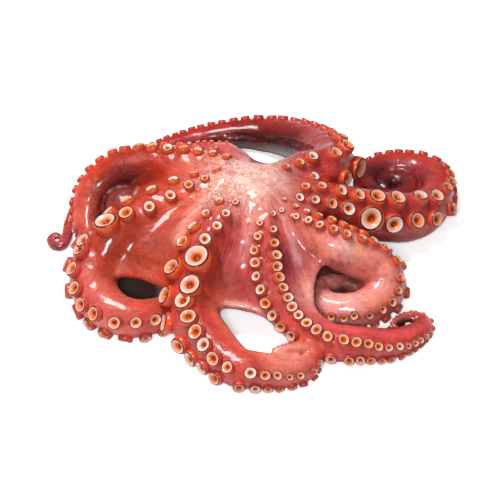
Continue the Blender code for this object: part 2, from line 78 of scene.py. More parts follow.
# Arms
# Each arm is a tapering rod of muscle that curls where its muscles pull. Lengths are in mm and
# angles in degrees, and distances along an arm are from where it starts at the crown.
#   route: x, y and z from ROUTE_ORIGIN, half the thickness, and how far the sucker side leans to
#     the left of the way the arm runs
#   suckers: distance along the arm, spacing within a row, diameter
#   bare_from: distance along the arm past which no sucker shows
#   first_row: the row that starts half a step nearer the crown, 1 for left and -1 for right
#   spread: distance along the arm, angle from the middle of the sucker side to a row
#   web: how far the skin to the next arm reaches along this arm and along that one, and how far
#     its free edge bows in, as a share of the reach
#   large: the one far larger sucker's row, distance along the arm, diameter and the way it faces
ARMS = {
    "front_left": {
        "route": [(-3, -19, 62, 13.5, 0), (-18, -35, 58, 15, 2), (-30, -52, 52, 15.5, -3),
                  (-38, -66, 43, 16, -14), (-40, -94, 24, 18, -47), (-36, -110, 18, 17.5, -64),
                  (-13, -140, 13, 14.5, -77), (3, -146, 12, 13.5, -80), (34, -143, 9, 10.5, -96),
                  (43, -134, 8, 8, -94), (46, -129, 12, 6.5, -94), (38, -128, 16, 5, -94),
                  (27, -131, 18, 4, -94), (17, -133, 18, 2.5, -94)],
        "suckers": [(14, 13, 6.3), (44, 11, 9), (60, 18, 12), (78, 18, 15.5), (104, 13, 14),
                    (150, 10, 10.3), (190, 7.5, 6.7), (215, 5, 4.6), (246, 2.6, 2.1)],
        "first_row": 1,
        "spread": [(14, 20), (50, 25), (80, 31), (125, 30), (150, 25), (246, 26)],
        "web": (98, 108, 0.10),
        "large": (1, 67, 19.6, (-0.18, -0.23, 0.95)),
    },
    "front_middle": {
        "route": [(8, -20, 62, 12, 0), (12, -37, 58, 12.5, -1), (15, -75, 33, 13.5, -19),
                  (30, -98, 18, 13.5, -42), (56, -116, 12, 13.5, -64), (71, -119, 12, 13.5, -68),
                  (102, -116, 9, 11, -88), (125, -101, 7, 8, -100), (128, -90, 6, 6, -100),
                  (120, -87, 8, 4.5, -100), (111, -90, 8, 3.5, -100), (106, -95, 8, 2.5, -100),
                  (109, -100, 7, 2, -100)],
        "suckers": [(18, 11, 5.2), (45, 9, 8.6), (130, 9, 9.2), (160, 7, 7.5), (190, 5.5, 5.2),
                    (238, 2.6, 2.1)],
        "first_row": 1,
        "spread": [(18, 16), (50, 30), (85, 31), (115, 29), (150, 28), (190, 22), (238, 25)],
        "web": (128, 60, 0.17),
    },
    "front_right": {
        "route": [(14, -21, 62, 11.5, -15), (30, -34, 58, 12, -12), (61, -50, 47, 15.5, 14),
                  (77, -53, 40, 16, 26), (93, -54, 30, 16, 40), (101, -61, 20, 16.5, 56),
                  (96, -73, 14, 15, 88), (84, -82, 13, 13, 98), (70, -83, 12, 12, 102),
                  (58, -79, 12, 11.5, 108), (52, -69, 13, 10, 108), (55, -60, 15, 7.5, 100),
                  (64, -56, 15, 6.5, 95), (74, -56, 14, 6, 90), (82, -59, 12, 5.5, 90),
                  (84, -66, 10, 4.5, 90), (78, -70, 8, 3, 90), (72, -67, 7, 2.5, 90)],
        "suckers": [(12, 9, 4), (45, 9.5, 7.5), (90, 9.5, 8), (120, 7.5, 7.5), (165, 6, 6),
                    (200, 4.5, 3.9), (236, 2.2, 1.8)],
        "bare_from": 168,
        "first_row": 1,
        "spread": [(12, 15), (40, 17), (75, 27), (236, 26)],
        "web": (46, 50, 0.20),
    },
    "right": {
        "route": [(14, -9, 60, 10.5, -40), (53, -1, 51, 15, -40), (91, 7, 32, 19, -46),
                  (111, 11, 25, 20, -44), (130, 22, 17, 19.5, -42), (146, 37, 15, 16.5, -57),
                  (155, 60, 13, 14, -73), (154, 82, 12, 13, -78), (142, 96, 11, 12.5, -75),
                  (118, 99, 11, 11, -75), (104, 91, 10, 11, -85), (97, 76, 9, 10.5, -90),
                  (103, 59, 9, 10, -90), (118, 53, 9, 10, -90), (130, 61, 9, 10, -90),
                  (132, 74, 9, 9, -90), (122, 82, 9, 8, -90), (112, 76, 9, 6, -90),
                  (114, 68, 9, 4, -90)],
        "suckers": [(19, 12, 7.5), (50, 13.5, 9.8), (70, 18, 13.2), (90, 23, 14.4), (130, 21, 13.8),
                    (150, 17, 11.5), (175, 11, 9.8), (240, 7, 6.9), (310, 6, 5.2), (390, 3, 2.1)],
        "bare_from": 262,
        "first_row": -1,
        "spread": [(19, 18), (45, 18), (85, 25), (150, 26), (390, 30)],
        "web": (72, 66, 0.20),
        "large": (-1, 80, 19.6, (-0.1, -0.74, 0.66)),
    },
    "back": {
        "route": [(6, 3, 62, 10, -44), (39, 28, 57, 14.5, -50), (56, 37, 53, 17, -58),
                  (66, 53, 46, 17.5, -64), (62, 78, 39, 16, -70), (52, 103, 29, 16.5, -74),
                  (36, 125, 20, 16.5, -73), (16, 141, 13, 15, -70), (-4, 145, 12, 13, -68),
                  (-41, 143, 9, 10, -71), (-79, 128, 7, 7.5, -74), (-120, 96, 5, 6, -80),
                  (-137, 71, 5, 5.5, -84), (-146, 31, 4, 4.5, -90), (-147, 14, 4, 4, -92),
                  (-149, 2, 4, 4, -92), (-156, 1, 3, 3.5, -92), (-161, 9, 3, 3, -92),
                  (-157, 16, 3, 2.5, -92), (-152, 11, 3, 2, -92)],
        "suckers": [(15, 12, 6.3), (50, 15.5, 9.8), (85, 19, 12.6), (115, 15, 10.9), (180, 11, 9.2),
                    (230, 9.3, 7.5), (280, 7, 5.5), (400, 4.4, 3.4), (474, 2.2, 1.7)],
        "first_row": -1,
        "spread": [(15, 19), (60, 32), (474, 30)],
        "web": (46, 58, 0.20),
        "large": (-1, 84, 16.8, (0.76, -0.62, 0.22)),
    },
    "hidden": {
        "route": [(2, 11, 58, 10, -10), (-15, 55, 46, 13.5, 0), (-28, 74, 37, 13, 10),
                  (-60, 98, 18, 12.5, 45), (-77, 103, 10, 11, 70), (-91, 93, 8, 9.5, 88),
                  (-98, 79, 6, 7, 95), (-91, 68, 5, 5, 95), (-79, 72, 4, 3.5, 95)],
        "suckers": [(58, 7, 3.0), (90, 8, 4.5), (130, 8, 5.5), (198, 3.5, 2.3)],
        "first_row": 1,
        "spread": [(15, 20), (60, 30), (198, 28)],
        "web": (60, 60, 0.22),
    },
    "left_upper": {
        "route": [(-2, 8, 62, 11, -38), (-17, 16, 61, 13, -32), (-35, 28, 58, 15, -25),
                  (-75, 41, 52, 15.5, -30), (-108, 44, 44, 15, -62), (-127, 32, 31, 13.5, -90),
                  (-131, 16, 16, 11.5, -100), (-126, 7, 9, 9.5, -100), (-118, -4, 7, 7.5, -100),
                  (-108, -8, 5, 5.5, -100), (-97, -4, 4, 4, -100)],
        "suckers": [(20, 11, 5.8), (50, 13, 8.6), (85, 12, 9.8), (110, 8.5, 8.6), (150, 6.5, 6.9),
                    (212, 3, 2.5)],
        "first_row": 1,
        "spread": [(20, 20), (60, 25), (110, 25), (212, 24)],
        "web": (80, 85, 0.22),
    },
    "left_lower": {
        "route": [(-3, -5, 62, 11.5, 8), (-20, 2, 59, 13, 6), (-38, 2, 55, 14.5, 0),
                  (-72, -15, 49, 17, 1), (-103, -36, 36, 18.5, -26), (-114, -44, 28, 19, -40),
                  (-118, -58, 21, 18.5, -62), (-114, -72, 15, 17, -86),
                  (-102, -87, 14, 15.5, -96), (-88, -93, 13, 14.5, -91),
                  (-73, -91, 12, 13.5, -84), (-60, -82, 11, 12, -85), (-51, -65, 9, 10, -88),
                  (-55, -30, 5, 6, -92)],
        "suckers": [(21, 17, 6.3), (50, 17.5, 8.6), (90, 15, 10.9), (124, 12, 12.1), (180, 11, 10.9),
                    (220, 9.5, 8.6), (287, 4.5, 3.4)],
        "first_row": -1,
        "spread": [(21, 14), (60, 23), (124, 24), (190, 29), (287, 26)],
        "web": (152, 90, 0.08),
        "large": (1, 112, 17.9, (-0.31, -0.13, 0.93)),
    },
}


def smooth_route(route):
    """Catmull-Rom curve through the route points, each of them a row of numbers."""
    points = np.array(route, float)
    ends = 2 * points[[0, -1]] - points[[1, -2]]
    points = np.vstack([ends[0], points, ends[1]])
    share = np.arange(12)[:, None] / 12
    spans = []
    for before, start, end, after in zip(points, points[1:], points[2:], points[3:]):
        spans.append(0.5 * (2 * start + (end - before) * share
                            + (2 * before - 5 * start + 4 * end - after) * share ** 2
                            + (3 * start - before - 3 * end + after) * share ** 3))
    return np.vstack(spans + [points[-2:-1]])


class ArmLine:
    """An arm at each mm of its length: axis point, half thickness and three unit vectors.

    The vectors point along the arm, to its sucker side and across that side. The sucker side is
    upper cos(turn) + left sin(turn), where upper is square to the arm and as near up as can be.
    """

    def __init__(self, arm):
        curve = smooth_route(arm["route"])
        steps = np.linalg.norm(np.diff(curve[:, :3], axis=0), axis=1)
        length = np.concatenate([[0], np.cumsum(steps)])
        self.distance = np.arange(0, length[-1], 1.0)
        values = np.column_stack([np.interp(self.distance, length, c) for c in curve.T])
        self.axis = values[:, :3] + ROUTE_ORIGIN
        self.half = values[:, 3]
        self.along = np.gradient(self.axis, axis=0)
        self.along /= np.linalg.norm(self.along, axis=1)[:, None]
        left = np.cross((0, 0, 1), self.along)
        left /= np.linalg.norm(left, axis=1)[:, None]
        turn = np.radians(values[:, 4])[:, None]
        self.oral = np.cross(self.along, left) * np.cos(turn) + left * np.sin(turn)
        self.across = np.cross(self.oral, self.along)


lines = {name: ArmLine(arm) for name, arm in ARMS.items()}


# Skin
# One continuous wet skin covers the arms, the crown and the mantle under them, and stretches
# between neighbouring arms as webs. It is the zero surface of a field that holds, at every point
# of a grid, the distance to the nearest piece of the body.
PITCH = 1.69  # from one point of the grid to the next
MARGIN = 8.0  # from the solid's box to the edge of the grid
REACH = 9.0  # how far from a piece its field is worked out
FLOOR_GAP = 0.2  # between the skin and the floor
low, high = np.array(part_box("octopus")) / MM + ((-MARGIN,), (MARGIN,))
shape = np.ceil((high - low) / PITCH).astype(int) + 1
grid = [low[i] + PITCH * np.arange(shape[i], dtype=np.float32) for i in range(3)]


def ball_field(centres, radii):
    """Distance to a chain or sheet of balls: the least of |x - centre| - radius, near them."""
    field = np.full(shape, REACH, np.float32)
    start = np.maximum(((centres - radii[:, None] - REACH - low) / PITCH).astype(int), 0)
    stop = np.minimum(((centres + radii[:, None] + REACH - low) / PITCH).astype(int) + 2, shape)
    for centre, radius, a, b in zip(centres, radii, start, stop):
        x, y, z = (grid[i][a[i]:b[i]] - centre[i] for i in range(3))
        gap = (x * x)[:, None, None] + (y * y)[:, None] + z * z
        window = field[a[0]:b[0], a[1]:b[1], a[2]:b[2]]
        np.minimum(window, np.sqrt(gap) - np.float32(radius), out=window)
    return field


def egg_field(centre, half_size, turn):
    """Distance to an ellipsoid, near enough: k (k - 1) / |x / r^2|, where k = |x / r|."""
    x, y, z = np.meshgrid(*grid, indexing="ij", sparse=True)
    cx, cy, cz = np.array(centre) + ROUTE_ORIGIN
    u = (x - cx) * cos(radians(turn)) + (y - cy) * sin(radians(turn))
    v = (y - cy) * cos(radians(turn)) - (x - cx) * sin(radians(turn))
    w = z - cz
    a, b, c = half_size
    k = np.sqrt((u / a) ** 2 + (v / b) ** 2 + (w / c) ** 2)
    slope = np.sqrt((u / a ** 2) ** 2 + (v / b ** 2) ** 2 + (w / c ** 2) ** 2)
    return (k * (k - 1) / np.maximum(slope, 1e-6)).astype(np.float32)


def melt(first, second, width):
    """The lesser of two fields, with their meeting rounded over the width in mm."""
    near = np.maximum(width - np.abs(first - second), 0)
    return np.minimum(first, second) - near * near / (4 * width)


WEB_ALONG, WEB_ACROSS = 78, 70  # balls in a web along the arms and from one to the other
WEB_START = 0.12  # share of the reach at which a web begins
WEB_RAISE = 0.30  # share of an arm's half thickness by which a web lies to its sucker side
WEB_ROOT, WEB_EDGE = 14, 4.5  # thickness at the crown and at the free edge


def web_balls(arm, line, following):
    """Balls that fill the skin between two arms, in a sheet that thins to its free edge.

    A point is at share a of the reach along both arms and at share b of the way across. It is
    (1 - b) X1(a (1 - k sin(pi b)) reach1) + b X2(a (1 - k sin(pi b)) reach2), where X is the
    arm's axis raised towards its sucker side, and k is how far the free edge bows in.
    """
    a, b = np.meshgrid(np.linspace(WEB_START, 1, WEB_ALONG), np.linspace(0, 1, WEB_ACROSS),
                       indexing="ij")
    reach_here, reach_there, bow = arm["web"]
    inward = a * (1 - bow * np.sin(pi * b))
    surface = 0
    for piece, reach, share in ((line, reach_here, 1 - b), (following, reach_there, b)):
        raised = piece.axis + piece.oral * (WEB_RAISE * piece.half)[:, None]
        at = [np.interp(inward * reach, piece.distance, column) for column in raised.T]
        surface = surface + np.stack(at, -1) * share[..., None]
    thickness = WEB_ROOT + (WEB_EDGE - WEB_ROOT) * a
    return surface.reshape(-1, 3), thickness.ravel() / 2


# Flesh that isn't an arm: centre from ROUTE_ORIGIN, half the size along its own axes, turn in
# degrees and the width over which it melts into what comes before it.
CROWN = ((4, -3, 48), (40, 37, 27), 0)
EGGS = [
    ((-4, 4, 31), (38, 34, 33), 0, 8),  # the head under the crown
    ((-46, 22, 29), (54, 36, 31), -8, 8),  # the mantle
    ((-99, 24, 26), (19, 17, 16.5), 0, 4),  # the mantle's end, a dome in the upper left arm's bend
    ((66, -54, 2), (26, 22, 7), 0, 3),  # the bottom of the front right coil
    ((60, -24, 4), (28, 26, 15), 0, 3),  # flesh under the arch of that arm, behind the coil
    ((110, -95, 2), (10, 6, 3), 0, 2),  # the bottom of the front middle arm's curl
]
WEB_MELT = 7
# Arms melt into the crown widely and into each other hardly at all: the width far from the mouth,
# what is added at the mouth, and the distance over which that fades.
ARM_MELT, MOUTH_MELT, MOUTH_FADE = 2.2, 9, 42

names = list(ARMS)
x, y = np.meshgrid(grid[0], grid[1], indexing="ij")
from_mouth = np.hypot(x - (CROWN[0][0] + ROUTE_ORIGIN[0]), y - (CROWN[0][1] + ROUTE_ORIGIN[1]))
arm_melt = ARM_MELT + MOUTH_MELT * np.exp(-(from_mouth / MOUTH_FADE) ** 2)
arm_melt = arm_melt.astype(np.float32)[..., None]
body = egg_field(*CROWN)
for centre, half_size, turn, width in EGGS:
    body = melt(body, egg_field(centre, half_size, turn), width)
for name in names:
    body = melt(body, ball_field(lines[name].axis, lines[name].half), arm_melt)
for name, following in zip(names, names[1:] + names[:1]):
    web = ball_field(*web_balls(ARMS[name], lines[name], lines[following]))
    body = melt(body, web, WEB_MELT)
body = np.maximum(body, FLOOR_GAP - grid[2])

volume = openvdb.FloatGrid(REACH)
volume.copyFromArray(np.clip(body, -REACH, REACH).astype(np.float32))
volume.transform = openvdb.createLinearTransform(voxelSize=PITCH)
points, _, quads = volume.convertToPolygons(isovalue=0.0, adaptivity=0.0)
points = points.astype(float) + low
quads = quads.astype(int)
edges = np.vstack([quads[:, [i, (i + 1) % 4]] for i in range(4)])


def average(values):
    """Each point's mean of its neighbours' values."""
    count = np.bincount(edges[:, 1], minlength=len(points))
    total = [np.bincount(edges[:, 1], values[edges[:, 0], i], len(points))
             for i in range(values.shape[1])]
    return np.stack(total, 1) / count[:, None]


# The grid's steps are smoothed away, with no loss of size: a move inwards, then one outwards.
for _ in range(6):
    points += 0.55 * (average(points) - points)
    points -= 0.57 * (average(points) - points)


def skin_normals():
    """Unit normals of the skin at its points, from the diagonals of the faces round them."""
    corner = points[quads]
    face = np.cross(corner[:, 2] - corner[:, 0], corner[:, 3] - corner[:, 1])
    total = np.zeros_like(points)
    for i in range(4):
        for axis in range(3):
            total[:, axis] += np.bincount(quads[:, i], face[:, axis], len(points))
    return total / np.maximum(np.linalg.norm(total, axis=1), 1e-9)[:, None]


# Suckers, where they stand
# Two rows run down the sucker side of every arm, half a step apart, and shrink towards the tip.
# One sucker on four of the arms is far larger than its neighbours.
LEAST_STEP = 2.4  # from a sucker to the next one in its row, and to the arm's tip
ROOM = 0.55  # share of both diameters kept between a large sucker and its neighbours
ROSY_FROM, ROSY_BY = 70, 150  # distances along the arm between which suckers turn rosy and sink
TOO_DEEP = 0.6  # share of the diameter by which the skin lies too far out to carry a sucker
TOO_LOW = 0.18  # least height of a sucker's spot over the floor, in shares of its diameter
SCATTER = 2, 0.07, 0.04  # of the rows' angle in degrees, the way a sucker faces and its diameter


def sucker_row(arm, line, row):
    """Distance along the arm and diameter of each sucker in one row, and the way it faces if that
    is stated. The row is 1 or -1. Suckers too near the large one are moved off along the arm.
    """
    where, spacing, diameter = np.array(arm["suckers"], float).T
    at = where[0] + (0 if row == arm["first_row"] else spacing[0] / 2)
    suckers = []
    while at < min(line.distance[-1] - LEAST_STEP, arm.get("bare_from", np.inf)):
        suckers.append([at, np.interp(at, where, diameter), None])
        at += max(np.interp(at, where, spacing), LEAST_STEP)
    if "large" in arm and arm["large"][0] == row:
        nearest = min(suckers, key=lambda sucker: abs(sucker[0] - arm["large"][1]))
        nearest[:] = arm["large"][1:]
        for sucker in suckers:
            room = ROOM * (sucker[1] + nearest[1])
            if sucker is not nearest and abs(sucker[0] - nearest[0]) < room:
                sucker[0] = nearest[0] + np.sign(sucker[0] - nearest[0]) * room
    return suckers


# Each sucker's place on the skin, the way it faces, its diameter, and how rosy it is: from 0, a
# proud cup with an orange wall, to 1, a cup sunk in the skin with a wall in its colour.
chance = np.random.default_rng(8)
normals = skin_normals()
tree = BVHTree.FromPolygons(points.tolist(), quads.tolist())
roots, stems, sizes, rosy = [], [], [], []
for name, arm in ARMS.items():
    line = lines[name]
    spread_at, spread = np.array(arm["spread"], float).T
    for row in (1, -1):
        for at, diameter, aim in sucker_row(arm, line, row):
            here = int(round(at))
            angle = radians(row * np.interp(at, spread_at, spread) + chance.normal(0, SCATTER[0]))
            outward = Vector(line.oral[here] * cos(angle) + line.across[here] * sin(angle))
            hit, normal, _, reach = tree.ray_cast(Vector(line.axis[here]), outward)
            # The skin lies too far out where another arm or a web covers the sucker's spot.
            buried = hit is None or reach > line.half[here] + TOO_DEEP * diameter + 6
            if buried or hit.z < TOO_LOW * diameter:
                continue
            lean = Vector(chance.normal(0, SCATTER[1], 3)) + Vector((0, 0, 0.25))
            stem = (Vector(aim) if aim else outward * 0.6 + normal * 0.5 + lean).normalized()
            roots.append(hit)
            stems.append(stem)
            sizes.append(diameter * chance.normal(1, SCATTER[2]))
            rosy.append(0.0 if aim else np.interp(at, (ROSY_FROM, ROSY_BY), (0, 1)))
roots, stems, sizes, rosy = (np.array(values) for values in (roots, stems, sizes, rosy))


# Skin, its relief and colours
# The flesh swells under every sucker, ripples softly all over and creases across the inside of
# each bend. It is cream over the crown, coral on the arms and maroon on the backs of the far ones.
# Shade is painted into its creases, grooves and hollows and round each sucker's foot, and light
# onto some ridges, the inner whorl of the front right coil and the top of the front right arm.
SWELLING = 0.20  # rise of the skin under a sucker, in shares of its diameter
LIFT = 0.18  # rise of the sucker itself
SUNK = 0.13  # by how much less both rise where the sucker is rosy
RIPPLES = [(0.3, 26, 1), (0.1, 7, 2)]  # height, length and seed
CREASE_DEPTH = 0.9
CREASE_STEP, LEAST_CREASE_STEP = 0.34, 2.2  # from crease to crease, in half thicknesses and in mm
ARM_FADE = 4  # the distance from an arm over which the skin stops taking its colours
LIGHT = 1.75  # a lit surface looks this many times as bright as its reflectance


def waves(place, size, seed):
    """Smooth noise, mostly from -1 to 1: a sum of twelve plane waves of about the given length."""
    pick = np.random.default_rng(seed)
    direction = pick.normal(size=(12, 3))
    direction /= np.linalg.norm(direction, axis=1)[:, None]
    rate = 2 * pi / (size * pick.uniform(0.7, 1.5, 12))
    phase = pick.uniform(0, 2 * pi, 12)
    total = np.zeros(len(place))
    for along, shift in zip(direction * rate[:, None], phase):
        total += np.sin(place @ along + shift)
    return total / 4


def fade(value, start, stop):
    """0 before start, 1 after stop and a smooth S between them."""
    share = np.clip((value - start) / (stop - start), 0, 1)
    return share * share * (3 - 2 * share)


def pigment(red, green, blue):
    """Reflectance, scene-linear, of a colour that shows as these values from 0 to 255 when lit."""
    value = np.array((red, green, blue)) / 255
    linear = np.where(value <= 0.04045, value / 12.92, ((value + 0.055) / 1.055) ** 2.4)
    return linear / LIGHT


CORAL = pigment(222, 78, 58)
SALMON = pigment(255, 124, 104)
MAROON = pigment(186, 52, 56)
AMBER = pigment(166, 44, 0)
BRICK = pigment(214, 58, 46)
MAUVE = pigment(196, 64, 64)
CREAM = pigment(255, 204, 184)
ROSE = pigment(240, 88, 84)
# DARK is painted shade, for hollows, grooves and the shaded side of the back arm.
DARK = pigment(58, 8, 14)
# The colours of each arm's sides and back, and how deeply its inner side is creased,
# in relief and in painted shade.
ARM_TINTS = {
    "front_left": (CORAL, SALMON, 0.8),
    "front_middle": (ROSE, MAUVE, 0.2),
    "front_right": (pigment(255, 146, 130), SALMON, 0.8),
    "right": (pigment(222, 66, 52), pigment(214, 78, 82), 0.2),
    "back": (pigment(198, 50, 44), MAROON, 0.0),
    "hidden": (BRICK, MAROON, 0.1),
    "left_upper": (pigment(232, 70, 40), pigment(216, 48, 20), 0.1),
    "left_lower": (CORAL, pigment(236, 104, 88), 0.2),
}


def closest(line):
    """For each skin point, the arm's mm that it is nearest to and its distance from the arm."""
    here = np.empty(len(points), int)
    near = np.empty(len(points))
    axis = line.axis.astype(np.float32)
    for some in np.array_split(np.arange(len(points)), 24):
        place = points[some].astype(np.float32)
        gap = (place ** 2).sum(1)[:, None] - 2 * place @ axis.T + (axis ** 2).sum(1)
        gap = np.sqrt(np.maximum(gap, 0)) - line.half.astype(np.float32)
        here[some] = gap.argmin(1)
        near[some] = gap.min(1)
    return here, near


# What each skin point takes from the arms near it: how far it faces to the sucker side, from 1 to
# -1, how creased it is, and its colours.
weight = np.zeros(len(points))
facing = np.zeros(len(points))
crease = np.zeros(len(points))
side_tint = np.zeros((len(points), 3))
back_tint = np.zeros((len(points), 3))
for name, line in lines.items():
    here, near = closest(line)
    outward = points - line.axis[here]
    outward /= np.maximum(np.linalg.norm(outward, axis=1), 1e-6)[:, None]
    bend = np.gradient(line.along, axis=0)[here]
    inner = (outward * bend).sum(1) * line.half[here]
    share = np.exp(-np.maximum(near, 0) / ARM_FADE)
    weight += share
    facing += share * (outward * line.oral[here]).sum(1)
    ahead = line.distance[here] / np.maximum(LEAST_CREASE_STEP, CREASE_STEP * line.half[here])
    folds = np.abs(np.sin(pi * (ahead + 0.5 * waves(points, 9, 3))))
    side, back, creased = ARM_TINTS[name]
    crease += creased * share * fade(inner, 0.2, 0.7) * (1 - folds ** 0.7)
    side_tint += share[:, None] * side
    back_tint += share[:, None] * back
facing /= weight
crease /= weight
side_tint /= weight[:, None]
back_tint /= weight[:, None]

# Round each sucker: the swelling, the orange foot and a ring of painted shade outside it.
swelling = np.zeros(len(points))
foot = np.zeros(len(points))
foot_shade = np.zeros(len(points))
order = np.argsort(points[:, 0])
sorted_x = points[order, 0]
for root, size, rose in zip(roots, sizes, rosy):
    first, last = np.searchsorted(sorted_x, (root[0] - 2 * size, root[0] + 2 * size))
    some = order[first:last]
    gap = np.linalg.norm(points[some] - root, axis=1) / size
    rise = (SWELLING - SUNK * rose) * size * np.exp(-(gap / 0.62) ** 2)
    swelling[some] = np.maximum(swelling[some], rise)
    foot[some] = np.maximum(foot[some], np.exp(-(gap / 0.66) ** 4))
    foot_shade[some] = np.maximum(foot_shade[some], np.exp(-((gap - 0.80) / 0.20) ** 2))
relief = swelling
for height, length, seed in RIPPLES:
    relief = relief + height * waves(points, length, seed)
relief = relief - CREASE_DEPTH * crease


def near_line(places):
    """Each skin point's distance from a line through the places."""
    corners = np.array(places, float)
    share = np.linspace(0, 1, 12)[:, None]
    gap = np.full(len(points), np.inf)
    for start, end in zip(corners, corners[1:]):
        for place in start + (end - start) * share:
            gap = np.minimum(gap, ((points - place) ** 2).sum(1))
    return np.sqrt(gap)


def paint(tints, colour, amount):
    """The tints mixed towards one colour, by the amount at each point."""
    return tints + (colour - tints) * np.clip(amount, 0, 1)[:, None]


tints = side_tint + (back_tint - side_tint) * fade(-facing, -0.25, 0.45)[:, None]
for colour, amount in (
        (ROSE, 0.6 * fade(facing, 0.6, 0.95)),  # the sucker side
        # painted shade in a ring round each sucker's foot
        (pigment(130, 26, 34), 0.32 * foot_shade),
        (pigment(224, 66, 28), 0.45 * foot),
        (pigment(122, 30, 44), 0.6 * fade(-points[:, 2], -13, -1))):  # the shade near the floor
    tints = paint(tints, colour, amount)
# Patches: where, how wide, colour and strength. Here and for the ridges, places are in mm from the
# frame's origin, and later ones lie over earlier ones.
PATCHES = [
    # Cream and blush on the crown
    ((-14, 4, 74), 30, CREAM, 0.9), ((-32, 14, 74), 22, pigment(244, 138, 118), 0.7),
    ((2, -14, 73), 24, CREAM, 0.8), ((8, 8, 72), 20, pigment(250, 184, 172), 0.6),
    # Amber on the webs and arms at the left, and painted shade in the bend round the dome
    ((-60, -22, 60), 26, pigment(238, 84, 36), 0.75),
    ((-87, -50, 45), 34, AMBER, 0.95), ((-112, -66, 34), 22, AMBER, 0.6),
    ((-80, 38, 64), 26, pigment(204, 44, 14), 0.7), ((-106, 34, 52), 16, pigment(106, 16, 4), 0.9),
    ((-126, 22, 40), 12, pigment(120, 34, 20), 0.75),
    ((-88, 28, 55), 16, pigment(130, 34, 18), 0.75),
    # Mauve on the webs between the front arms
    ((-14, -62, 53), 18, MAUVE, 0.8), ((-15, -85, 36), 18, pigment(168, 50, 48), 0.85),
    ((28, -60, 50), 14, MAUVE, 0.8), ((31, -88, 34), 16, MAUVE, 0.8),
    # Painted shade on the back arm's lower inner side
    ((0, 134, 4), 24, DARK, 0.85), ((28, 108, 16), 18, DARK, 0.7),
    # The dome in darker brown, and painted shade in the gap round it
    ((-108, 21, 37), 15, pigment(124, 54, 44), 0.97), ((-125, 22, 22), 10, DARK, 0.9),
    ((-118, 40, 28), 8, DARK, 0.9), ((-122, 10, 20), 8, DARK, 0.8),
    # More painted shade on the back arm's inner side, higher up and further left
    ((14, 120, 18), 17, DARK, 0.92), ((31, 101, 31), 13, DARK, 0.88),
    ((-12, 135, 11), 12, DARK, 0.8), ((-34, 138, 12), 8, DARK, 0.7),
    # The web left of the front right coil, and painted shade in the hollows of both coils at the
    # right. The front right coil's inner whorl is lightened as painted light, and a painted sheen
    # lies on the front right arm's top.
    ((25, -68, 46), 18, pigment(158, 42, 54), 0.9), ((112, 68, 14), 28, pigment(54, 8, 18), 0.96),
    ((96, 84, 14), 13, DARK, 0.8), ((57, -43, 12), 14, DARK, 0.97),
    ((56, -61, 22), 11, pigment(255, 148, 144), 0.95), ((75, -58, 18), 7, DARK, 0.85),
    ((68, -61, 56), 11, pigment(255, 216, 208), 0.5), ((65, -62, 12), 6.5, DARK, 0.97),
    # The upper left arm's outer side
    ((-138, 14, 26), 22, pigment(232, 106, 86), 0.8),
    # The root of the front right arm
    ((32, -36, 70), 18, pigment(226, 92, 76), 0.7), ((22, -29, 73), 14, pigment(236, 116, 96), 0.5),
    # Painted shade in the curl of the front middle arm, and the pale outer side of the front right
    # coil
    ((107, -93, 6), 8, DARK, 0.95), ((42, -86, 32), 15, pigment(255, 178, 168), 0.8),
    ((66, -82, 23), 18, pigment(255, 176, 166), 0.8),
    # Pale flesh on the front arms, the mauve tip at the far left and the shade low at the right
    ((20, -138, 19), 17, pigment(255, 158, 138), 0.9),
    ((-160, 10, 3), 14, pigment(186, 80, 98), 0.8), ((-134, -77, 27), 18, SALMON, 0.7),
    ((104, -78, 27), 16, pigment(255, 168, 156), 0.6),
    ((-115, -99, 9), 22, pigment(255, 140, 124), 0.6),
    ((108, -4, 14), 30, pigment(122, 26, 26), 0.6),
    # Spots near the mouth
    ((-14, -15, 74), 2.6, CORAL, 0.8), ((-7, -14, 74), 2.4, CORAL, 0.7),
    ((-18, 0, 75), 2.4, CORAL, 0.6), ((-28, 5, 74), 2.6, CORAL, 0.6),
]
for place, size, colour, amount in PATCHES:
    gap = np.linalg.norm(points - place, axis=1)
    tints = paint(tints, colour, amount * np.exp(-(gap / size) ** 2))
